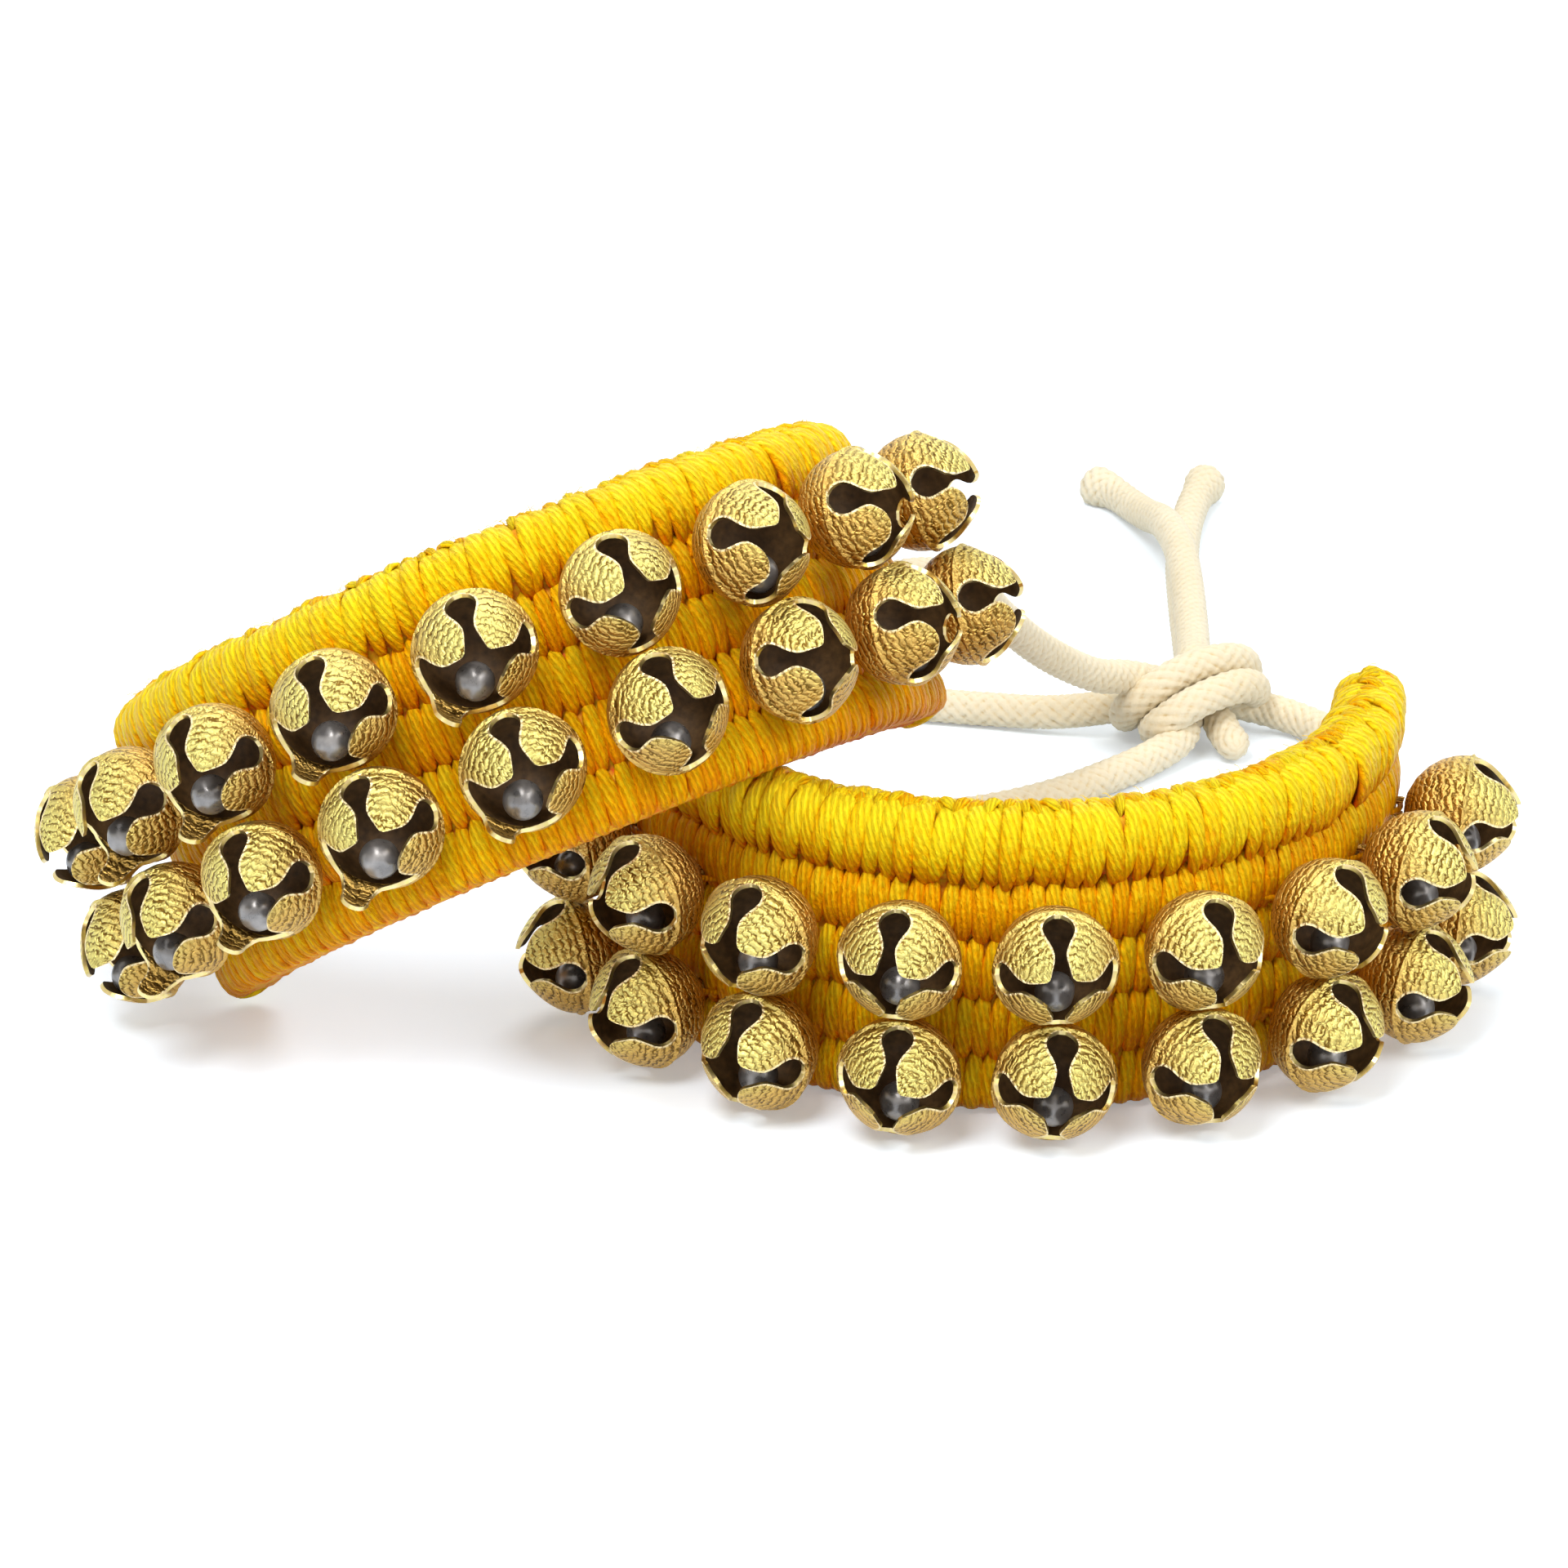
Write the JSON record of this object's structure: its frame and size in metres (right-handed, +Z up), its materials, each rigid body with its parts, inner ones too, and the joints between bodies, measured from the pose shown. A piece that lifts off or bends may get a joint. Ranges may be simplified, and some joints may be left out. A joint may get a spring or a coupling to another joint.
{
  "type": "ghungroo ankle bells",
  "caption": "Pair of dance anklets: padded yarn bands with rows of four-petal brass bells, one leaning on the other, their cotton ties knotted together behind.",
  "frame": {"origin": "on the floor, under the middle of the box around the two anklets without their ties", "axes": "+X along the pair, from the leaning anklet to the standing one; +Y back towards the knot; +Z up"},
  "size_m": [0.25, 0.3066, 0.103],
  "materials": {
    "yarn": "silky wrapped yarn",
    "brass": "pressed sheet, satin",
    "steel": "dark, worn",
    "cotton": "braided, matt"
  },
  "bodies": {
    "pair": {"standing_band": "yarn", "standing_left_tie": "cotton", "standing_right_tie": "cotton", "leaning_left_tie": "cotton", "leaning_right_tie": "cotton"},
    "leaning": {"leaning_band": "yarn"},
    "standing_bell_upper_1": {"standing_bell_upper_1": "brass"},
    "standing_pellet_upper_1": {"standing_pellet_upper_1": "steel"},
    "standing_bell_upper_2": {"standing_bell_upper_2": "brass"},
    "standing_pellet_upper_2": {"standing_pellet_upper_2": "steel"},
    "standing_bell_upper_3": {"standing_bell_upper_3": "brass"},
    "standing_pellet_upper_3": {"standing_pellet_upper_3": "steel"},
    "standing_bell_upper_4": {"standing_bell_upper_4": "brass"},
    "standing_pellet_upper_4": {"standing_pellet_upper_4": "steel"},
    "standing_bell_upper_5": {"standing_bell_upper_5": "brass"},
    "standing_pellet_upper_5": {"standing_pellet_upper_5": "steel"},
    "standing_bell_upper_6": {"standing_bell_upper_6": "brass"},
    "standing_pellet_upper_6": {"standing_pellet_upper_6": "steel"},
    "standing_bell_upper_7": {"standing_bell_upper_7": "brass"},
    "standing_pellet_upper_7": {"standing_pellet_upper_7": "steel"},
    "standing_bell_upper_8": {"standing_bell_upper_8": "brass"},
    "standing_pellet_upper_8": {"standing_pellet_upper_8": "steel"},
    "standing_bell_upper_9": {"standing_bell_upper_9": "brass"},
    "standing_pellet_upper_9": {"standing_pellet_upper_9": "steel"},
    "standing_bell_lower_1": {"standing_bell_lower_1": "brass"},
    "standing_pellet_lower_1": {"standing_pellet_lower_1": "steel"},
    "standing_bell_lower_2": {"standing_bell_lower_2": "brass"},
    "standing_pellet_lower_2": {"standing_pellet_lower_2": "steel"},
    "standing_bell_lower_3": {"standing_bell_lower_3": "brass"},
    "standing_pellet_lower_3": {"standing_pellet_lower_3": "steel"},
    "standing_bell_lower_4": {"standing_bell_lower_4": "brass"},
    "standing_pellet_lower_4": {"standing_pellet_lower_4": "steel"},
    "standing_bell_lower_5": {"standing_bell_lower_5": "brass"},
    "standing_pellet_lower_5": {"standing_pellet_lower_5": "steel"},
    "standing_bell_lower_6": {"standing_bell_lower_6": "brass"},
    "standing_pellet_lower_6": {"standing_pellet_lower_6": "steel"},
    "standing_bell_lower_7": {"standing_bell_lower_7": "brass"},
    "standing_pellet_lower_7": {"standing_pellet_lower_7": "steel"},
    "standing_bell_lower_8": {"standing_bell_lower_8": "brass"},
    "standing_pellet_lower_8": {"standing_pellet_lower_8": "steel"},
    "standing_bell_lower_9": {"standing_bell_lower_9": "brass"},
    "standing_pellet_lower_9": {"standing_pellet_lower_9": "steel"},
    "leaning_bell_upper_1": {"leaning_bell_upper_1": "brass"},
    "leaning_bell_upper_2": {"leaning_bell_upper_2": "brass"},
    "leaning_bell_upper_3": {"leaning_bell_upper_3": "brass"},
    "leaning_bell_upper_4": {"leaning_bell_upper_4": "brass"},
    "leaning_bell_upper_5": {"leaning_bell_upper_5": "brass"},
    "leaning_bell_upper_6": {"leaning_bell_upper_6": "brass"},
    "leaning_bell_upper_7": {"leaning_bell_upper_7": "brass"},
    "leaning_bell_upper_8": {"leaning_bell_upper_8": "brass"},
    "leaning_bell_upper_9": {"leaning_bell_upper_9": "brass"},
    "leaning_bell_lower_1": {"leaning_bell_lower_1": "brass"},
    "leaning_bell_lower_2": {"leaning_bell_lower_2": "brass"},
    "leaning_bell_lower_3": {"leaning_bell_lower_3": "brass"},
    "leaning_bell_lower_4": {"leaning_bell_lower_4": "brass"},
    "leaning_bell_lower_5": {"leaning_bell_lower_5": "brass"},
    "leaning_bell_lower_6": {"leaning_bell_lower_6": "brass"},
    "leaning_bell_lower_7": {"leaning_bell_lower_7": "brass"},
    "leaning_bell_lower_8": {"leaning_bell_lower_8": "brass"},
    "leaning_bell_lower_9": {"leaning_bell_lower_9": "brass"}
  },
  "joints": [
    {"name": "leaning_lift", "type": "slide", "parent": "pair", "child": "leaning", "axis": [0, 0, 1], "range_m": [0, 0.03], "deforming": ["leaning_left_tie", "leaning_right_tie"]},
    {"name": "standing_bell_upper_1_rock", "type": "hinge", "parent": "pair", "child": "standing_bell_upper_1", "pos_m": [-0.02418, 0.0141, 0.03264], "axis": [0, 0, 1], "range_deg": [-12, 12]},
    {"name": "standing_pellet_upper_1_roll", "type": "hinge", "parent": "standing_bell_upper_1", "child": "standing_pellet_upper_1", "pos_m": [-0.03431, 0.01041, 0.03207], "axis": [-0.9383, -0.3417, -0.0523], "range_deg": [-80, 80]},
    {"name": "standing_bell_upper_2_rock", "type": "hinge", "parent": "pair", "child": "standing_bell_upper_2", "pos_m": [-0.01358, -0.00478, 0.03264], "axis": [0, 0, 1], "range_deg": [-12, 12]},
    {"name": "standing_pellet_upper_2_roll", "type": "hinge", "parent": "standing_bell_upper_2", "child": "standing_pellet_upper_2", "pos_m": [-0.02201, -0.01151, 0.03207], "axis": [-0.7804, -0.6231, -0.0523], "range_deg": [-80, 80]},
    {"name": "standing_bell_upper_3_rock", "type": "hinge", "parent": "pair", "child": "standing_bell_upper_3", "pos_m": [0.00249, -0.0193, 0.03264], "axis": [0, 0, 1], "range_deg": [-12, 12]},
    {"name": "standing_pellet_upper_3_roll", "type": "hinge", "parent": "standing_bell_upper_3", "child": "standing_pellet_upper_3", "pos_m": [-0.00335, -0.02836, 0.03207], "axis": [-0.5409, -0.8395, -0.0523], "range_deg": [-80, 80]},
    {"name": "standing_bell_upper_4_rock", "type": "hinge", "parent": "pair", "child": "standing_bell_upper_4", "pos_m": [0.02235, -0.02793, 0.03264], "axis": [0, 0, 1], "range_deg": [-12, 12]},
    {"name": "standing_pellet_upper_4_roll", "type": "hinge", "parent": "standing_bell_upper_4", "child": "standing_pellet_upper_4", "pos_m": [0.01971, -0.03839, 0.03207], "axis": [-0.2449, -0.9681, -0.0523], "range_deg": [-80, 80]},
    {"name": "standing_bell_upper_5_rock", "type": "hinge", "parent": "pair", "child": "standing_bell_upper_5", "pos_m": [0.04393, -0.02978, 0.03264], "axis": [0, 0, 1], "range_deg": [-12, 12]},
    {"name": "standing_pellet_upper_5_roll", "type": "hinge", "parent": "standing_bell_upper_5", "child": "standing_pellet_upper_5", "pos_m": [0.04476, -0.04054, 0.03207], "axis": [0.0766, -0.9957, -0.0523], "range_deg": [-80, 80]},
    {"name": "standing_bell_upper_6_rock", "type": "hinge", "parent": "pair", "child": "standing_bell_upper_6", "pos_m": [0.06497, -0.02465, 0.03264], "axis": [0, 0, 1], "range_deg": [-12, 12]},
    {"name": "standing_pellet_upper_6_roll", "type": "hinge", "parent": "standing_bell_upper_6", "child": "standing_pellet_upper_6", "pos_m": [0.06918, -0.03458, 0.03207], "axis": [0.3902, -0.9193, -0.0523], "range_deg": [-80, 80]},
    {"name": "standing_bell_upper_7_rock", "type": "hinge", "parent": "pair", "child": "standing_bell_upper_7", "pos_m": [0.08328, -0.01308, 0.03264], "axis": [0, 0, 1], "range_deg": [-12, 12]},
    {"name": "standing_pellet_upper_7_roll", "type": "hinge", "parent": "standing_bell_upper_7", "child": "standing_pellet_upper_7", "pos_m": [0.09044, -0.02115, 0.03207], "axis": [0.663, -0.7468, -0.0523], "range_deg": [-80, 80]},
    {"name": "standing_bell_upper_8_rock", "type": "hinge", "parent": "pair", "child": "standing_bell_upper_8", "pos_m": [0.09694, 0.00372, 0.03264], "axis": [0, 0, 1], "range_deg": [-12, 12]},
    {"name": "standing_pellet_upper_8_roll", "type": "hinge", "parent": "standing_bell_upper_8", "child": "standing_pellet_upper_8", "pos_m": [0.1063, -0.00164, 0.03207], "axis": [0.8665, -0.4964, -0.0523], "range_deg": [-80, 80]},
    {"name": "standing_bell_upper_9_rock", "type": "hinge", "parent": "pair", "child": "standing_bell_upper_9", "pos_m": [0.10453, 0.02401, 0.03264], "axis": [0, 0, 1], "range_deg": [-12, 12]},
    {"name": "standing_pellet_upper_9_roll", "type": "hinge", "parent": "standing_bell_upper_9", "child": "standing_pellet_upper_9", "pos_m": [0.1151, 0.02191, 0.03207], "axis": [0.9796, -0.1941, -0.0523], "range_deg": [-80, 80]},
    {"name": "standing_bell_lower_1_rock", "type": "hinge", "parent": "pair", "child": "standing_bell_lower_1", "pos_m": [-0.02418, 0.0141, 0.01214], "axis": [0, 0, 1], "range_deg": [-12, 12]},
    {"name": "standing_pellet_lower_1_roll", "type": "hinge", "parent": "standing_bell_lower_1", "child": "standing_pellet_lower_1", "pos_m": [-0.03431, 0.01041, 0.01158], "axis": [-0.9383, -0.3417, -0.0523], "range_deg": [-80, 80]},
    {"name": "standing_bell_lower_2_rock", "type": "hinge", "parent": "pair", "child": "standing_bell_lower_2", "pos_m": [-0.01358, -0.00478, 0.01214], "axis": [0, 0, 1], "range_deg": [-12, 12]},
    {"name": "standing_pellet_lower_2_roll", "type": "hinge", "parent": "standing_bell_lower_2", "child": "standing_pellet_lower_2", "pos_m": [-0.02201, -0.01151, 0.01158], "axis": [-0.7804, -0.6231, -0.0523], "range_deg": [-80, 80]},
    {"name": "standing_bell_lower_3_rock", "type": "hinge", "parent": "pair", "child": "standing_bell_lower_3", "pos_m": [0.00249, -0.0193, 0.01214], "axis": [0, 0, 1], "range_deg": [-12, 12]},
    {"name": "standing_pellet_lower_3_roll", "type": "hinge", "parent": "standing_bell_lower_3", "child": "standing_pellet_lower_3", "pos_m": [-0.00335, -0.02836, 0.01158], "axis": [-0.5409, -0.8395, -0.0523], "range_deg": [-80, 80]},
    {"name": "standing_bell_lower_4_rock", "type": "hinge", "parent": "pair", "child": "standing_bell_lower_4", "pos_m": [0.02235, -0.02793, 0.01214], "axis": [0, 0, 1], "range_deg": [-12, 12]},
    {"name": "standing_pellet_lower_4_roll", "type": "hinge", "parent": "standing_bell_lower_4", "child": "standing_pellet_lower_4", "pos_m": [0.01971, -0.03839, 0.01158], "axis": [-0.2449, -0.9681, -0.0523], "range_deg": [-80, 80]},
    {"name": "standing_bell_lower_5_rock", "type": "hinge", "parent": "pair", "child": "standing_bell_lower_5", "pos_m": [0.04393, -0.02978, 0.01214], "axis": [0, 0, 1], "range_deg": [-12, 12]},
    {"name": "standing_pellet_lower_5_roll", "type": "hinge", "parent": "standing_bell_lower_5", "child": "standing_pellet_lower_5", "pos_m": [0.04476, -0.04054, 0.01158], "axis": [0.0766, -0.9957, -0.0523], "range_deg": [-80, 80]},
    {"name": "standing_bell_lower_6_rock", "type": "hinge", "parent": "pair", "child": "standing_bell_lower_6", "pos_m": [0.06497, -0.02465, 0.01214], "axis": [0, 0, 1], "range_deg": [-12, 12]},
    {"name": "standing_pellet_lower_6_roll", "type": "hinge", "parent": "standing_bell_lower_6", "child": "standing_pellet_lower_6", "pos_m": [0.06918, -0.03458, 0.01158], "axis": [0.3902, -0.9193, -0.0523], "range_deg": [-80, 80]},
    {"name": "standing_bell_lower_7_rock", "type": "hinge", "parent": "pair", "child": "standing_bell_lower_7", "pos_m": [0.08328, -0.01308, 0.01214], "axis": [0, 0, 1], "range_deg": [-12, 12]},
    {"name": "standing_pellet_lower_7_roll", "type": "hinge", "parent": "standing_bell_lower_7", "child": "standing_pellet_lower_7", "pos_m": [0.09044, -0.02115, 0.01158], "axis": [0.663, -0.7468, -0.0523], "range_deg": [-80, 80]},
    {"name": "standing_bell_lower_8_rock", "type": "hinge", "parent": "pair", "child": "standing_bell_lower_8", "pos_m": [0.09694, 0.00372, 0.01214], "axis": [0, 0, 1], "range_deg": [-12, 12]},
    {"name": "standing_pellet_lower_8_roll", "type": "hinge", "parent": "standing_bell_lower_8", "child": "standing_pellet_lower_8", "pos_m": [0.1063, -0.00164, 0.01158], "axis": [0.8665, -0.4964, -0.0523], "range_deg": [-80, 80]},
    {"name": "standing_bell_lower_9_rock", "type": "hinge", "parent": "pair", "child": "standing_bell_lower_9", "pos_m": [0.10453, 0.02401, 0.01214], "axis": [0, 0, 1], "range_deg": [-12, 12]},
    {"name": "standing_pellet_lower_9_roll", "type": "hinge", "parent": "standing_bell_lower_9", "child": "standing_pellet_lower_9", "pos_m": [0.1151, 0.02191, 0.01158], "axis": [0.9796, -0.1941, -0.0523], "range_deg": [-80, 80]},
    {"name": "leaning_bell_upper_1_rock", "type": "hinge", "parent": "leaning", "child": "leaning_bell_upper_1", "pos_m": [-0.10637, 0.01971, 0.03603], "axis": [-0.3763, 0.3978, 0.8368], "range_deg": [-12, 12]},
    {"name": "leaning_bell_upper_2_rock", "type": "hinge", "parent": "leaning", "child": "leaning_bell_upper_2", "pos_m": [-0.09896, 0.00263, 0.04748], "axis": [-0.3763, 0.3978, 0.8368], "range_deg": [-12, 12]},
    {"name": "leaning_bell_upper_3_rock", "type": "hinge", "parent": "leaning", "child": "leaning_bell_upper_3", "pos_m": [-0.08592, -0.01021, 0.05945], "axis": [-0.3763, 0.3978, 0.8368], "range_deg": [-12, 12]},
    {"name": "leaning_bell_upper_4_rock", "type": "hinge", "parent": "leaning", "child": "leaning_bell_upper_4", "pos_m": [-0.06862, -0.01746, 0.07067], "axis": [-0.3763, 0.3978, 0.8368], "range_deg": [-12, 12]},
    {"name": "leaning_bell_upper_5_rock", "type": "hinge", "parent": "leaning", "child": "leaning_bell_upper_5", "pos_m": [-0.04887, -0.01837, 0.07999], "axis": [-0.3763, 0.3978, 0.8368], "range_deg": [-12, 12]},
    {"name": "leaning_bell_upper_6_rock", "type": "hinge", "parent": "leaning", "child": "leaning_bell_upper_6", "pos_m": [-0.02872, -0.01285, 0.08642], "axis": [-0.3763, 0.3978, 0.8368], "range_deg": [-12, 12]},
    {"name": "leaning_bell_upper_7_rock", "type": "hinge", "parent": "leaning", "child": "leaning_bell_upper_7", "pos_m": [-0.01029, -0.00146, 0.0893], "axis": [-0.3763, 0.3978, 0.8368], "range_deg": [-12, 12]},
    {"name": "leaning_bell_upper_8_rock", "type": "hinge", "parent": "leaning", "child": "leaning_bell_upper_8", "pos_m": [0.00451, 0.0146, 0.08833], "axis": [-0.3763, 0.3978, 0.8368], "range_deg": [-12, 12]},
    {"name": "leaning_bell_upper_9_rock", "type": "hinge", "parent": "leaning", "child": "leaning_bell_upper_9", "pos_m": [0.01413, 0.03365, 0.0836], "axis": [-0.3763, 0.3978, 0.8368], "range_deg": [-12, 12]},
    {"name": "leaning_bell_lower_1_rock", "type": "hinge", "parent": "leaning", "child": "leaning_bell_lower_1", "pos_m": [-0.09865, 0.01155, 0.01887], "axis": [-0.3763, 0.3978, 0.8368], "range_deg": [-12, 12]},
    {"name": "leaning_bell_lower_2_rock", "type": "hinge", "parent": "leaning", "child": "leaning_bell_lower_2", "pos_m": [-0.09124, -0.00553, 0.03033], "axis": [-0.3763, 0.3978, 0.8368], "range_deg": [-12, 12]},
    {"name": "leaning_bell_lower_3_rock", "type": "hinge", "parent": "leaning", "child": "leaning_bell_lower_3", "pos_m": [-0.0782, -0.01836, 0.04229], "axis": [-0.3763, 0.3978, 0.8368], "range_deg": [-12, 12]},
    {"name": "leaning_bell_lower_4_rock", "type": "hinge", "parent": "leaning", "child": "leaning_bell_lower_4", "pos_m": [-0.06091, -0.02562, 0.05352], "axis": [-0.3763, 0.3978, 0.8368], "range_deg": [-12, 12]},
    {"name": "leaning_bell_lower_5_rock", "type": "hinge", "parent": "leaning", "child": "leaning_bell_lower_5", "pos_m": [-0.04115, -0.02653, 0.06284], "axis": [-0.3763, 0.3978, 0.8368], "range_deg": [-12, 12]},
    {"name": "leaning_bell_lower_6_rock", "type": "hinge", "parent": "leaning", "child": "leaning_bell_lower_6", "pos_m": [-0.02101, -0.021, 0.06927], "axis": [-0.3763, 0.3978, 0.8368], "range_deg": [-12, 12]},
    {"name": "leaning_bell_lower_7_rock", "type": "hinge", "parent": "leaning", "child": "leaning_bell_lower_7", "pos_m": [-0.00257, -0.00961, 0.07215], "axis": [-0.3763, 0.3978, 0.8368], "range_deg": [-12, 12]},
    {"name": "leaning_bell_lower_8_rock", "type": "hinge", "parent": "leaning", "child": "leaning_bell_lower_8", "pos_m": [0.01223, 0.00644, 0.07117], "axis": [-0.3763, 0.3978, 0.8368], "range_deg": [-12, 12]},
    {"name": "leaning_bell_lower_9_rock", "type": "hinge", "parent": "leaning", "child": "leaning_bell_lower_9", "pos_m": [0.02185, 0.0255, 0.06644], "axis": [-0.3763, 0.3978, 0.8368], "range_deg": [-12, 12]}
  ]
}
